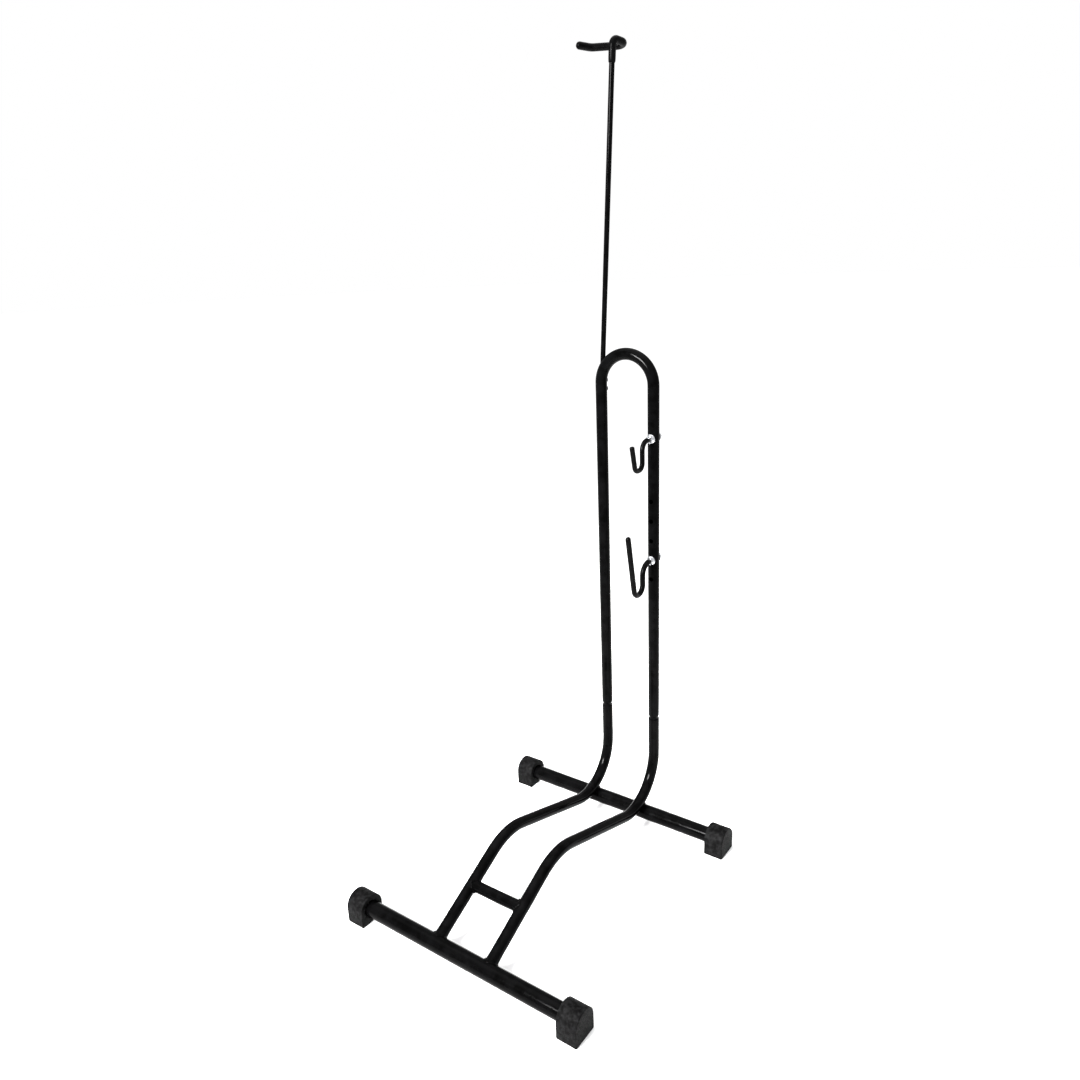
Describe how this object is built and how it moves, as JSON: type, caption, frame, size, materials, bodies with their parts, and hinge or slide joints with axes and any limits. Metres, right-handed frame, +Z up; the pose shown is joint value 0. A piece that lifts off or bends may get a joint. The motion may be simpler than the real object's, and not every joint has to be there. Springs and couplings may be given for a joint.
{
  "type": "bicycle floor stand",
  "caption": "Free-standing steel bicycle stand: tubular base with wheel gap on rubber feet, plug-in hoop with frame hooks, and a tall mast with a wheel hook.",
  "frame": {"origin": "on the floor under the middle of the bounding box", "axes": "+Z up; +Y towards the back, where the hoop stands; -Y towards the front ground bar; +X to the right seen from the front, the side of the frame hooks"},
  "size_m": [0.494, 0.6318, 1.4714],
  "materials": {
    "black_steel": "gloss black powder coat",
    "foot_rubber": "matt moulded",
    "black_vinyl": "semi-gloss vinyl sleeve",
    "zinc_steel": "bright zinc plate",
    "black_screw": "black oxide"
  },
  "bodies": {
    "base": {"front_bar": "black_steel", "rear_bar": "black_steel", "lower_tube_left": "black_steel", "lower_tube_right": "black_steel", "cross_brace": "black_steel", "front_bar_welds": "black_steel", "cross_brace_welds": "black_steel", "rear_bar_welds": "black_steel", "foot_front_left": "foot_rubber", "foot_front_right": "foot_rubber", "foot_rear_left": "foot_rubber", "foot_rear_right": "foot_rubber"},
    "hoop": {"hoop_tube": "black_steel", "mast_weld_nuts": "black_steel", "mast_set_screws": "black_screw"},
    "mast": {"mast_rod": "black_steel", "mast_sleeve": "black_vinyl"},
    "upper_hook": {"upper_hook_rod": "zinc_steel", "upper_hook_sleeve": "black_vinyl", "upper_hook_front_nut": "zinc_steel", "upper_hook_back_nut": "zinc_steel"},
    "lower_hook": {"lower_hook_rod": "zinc_steel", "lower_hook_sleeve": "black_vinyl", "lower_hook_front_nut": "zinc_steel", "lower_hook_back_nut": "zinc_steel"}
  },
  "joints": [
    {"name": "hoop_lift", "type": "slide", "parent": "base", "child": "hoop", "axis": [0, 0, 1], "range_m": [0, 0.09]},
    {"name": "mast_height", "type": "slide", "parent": "hoop", "child": "mast", "axis": [0.0579, 0, 0.9983], "range_m": [0, 0.08]},
    {"name": "upper_hook_turn", "type": "hinge", "parent": "hoop", "child": "upper_hook", "pos_m": [0.0555, 0.2751, 0.801], "axis": [0, 1, 0], "continuous": true},
    {"name": "lower_hook_turn", "type": "hinge", "parent": "hoop", "child": "lower_hook", "pos_m": [0.0555, 0.2751, 0.564], "axis": [0, 1, 0], "continuous": true}
  ]
}
